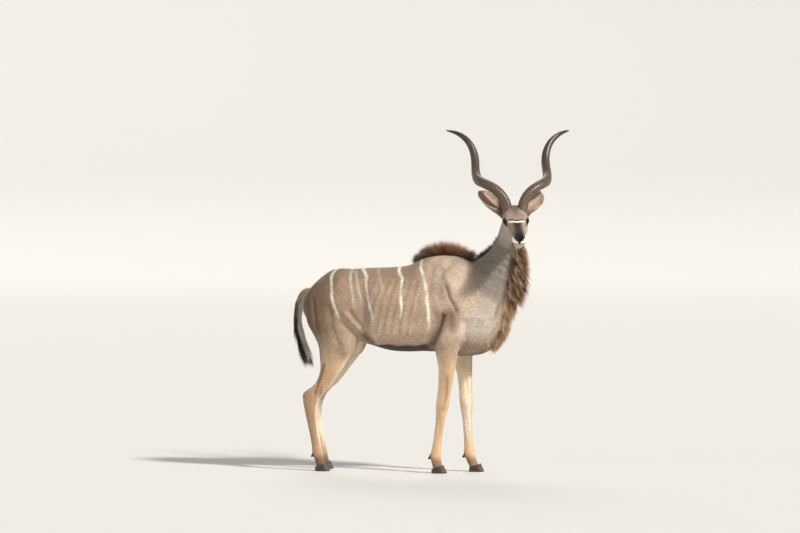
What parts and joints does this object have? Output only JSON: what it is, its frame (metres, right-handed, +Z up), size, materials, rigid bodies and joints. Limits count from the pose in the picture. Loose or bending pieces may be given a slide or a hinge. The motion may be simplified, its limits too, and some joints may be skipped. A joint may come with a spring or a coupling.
{
  "type": "greater kudu",
  "caption": "Standing greater kudu bull with spiral horns, throat fringe and withers mane, head turned to its right; a still life-size model resting on its hooves.",
  "frame": {"origin": "middle of the outline on the floor, under the body", "axes": "+X the way the body faces, +Y towards the animal's left side, +Z up"},
  "size_m": [1.6462, 0.8989, 2.1194],
  "materials": {
    "hide": "short matt grey-brown coat with thin white stripes",
    "ear": "short matt coat, pinkish hollow",
    "horn": "satin grey-brown horn sheath, ridged near the base",
    "hoof": "satin dark horn",
    "eye": "wet gloss"
  },
  "bodies": {
    "root": {"ear_left": "ear", "ear_right": "ear", "eye_left": "eye", "eye_right": "eye", "forehoof_left_left": "hoof", "forehoof_left_right": "hoof", "forehoof_right_left": "hoof", "forehoof_right_right": "hoof", "foreleg_left": "hide", "foreleg_right": "hide", "head": "hide", "hindhoof_left_left": "hoof", "hindhoof_left_right": "hoof", "hindhoof_right_left": "hoof", "hindhoof_right_right": "hoof", "hindleg_left": "hide", "hindleg_right": "hide", "horn_left": "horn", "horn_right": "horn", "neck": "hide", "tail": "hide", "torso": "hide"}
  },
  "joints": []
}
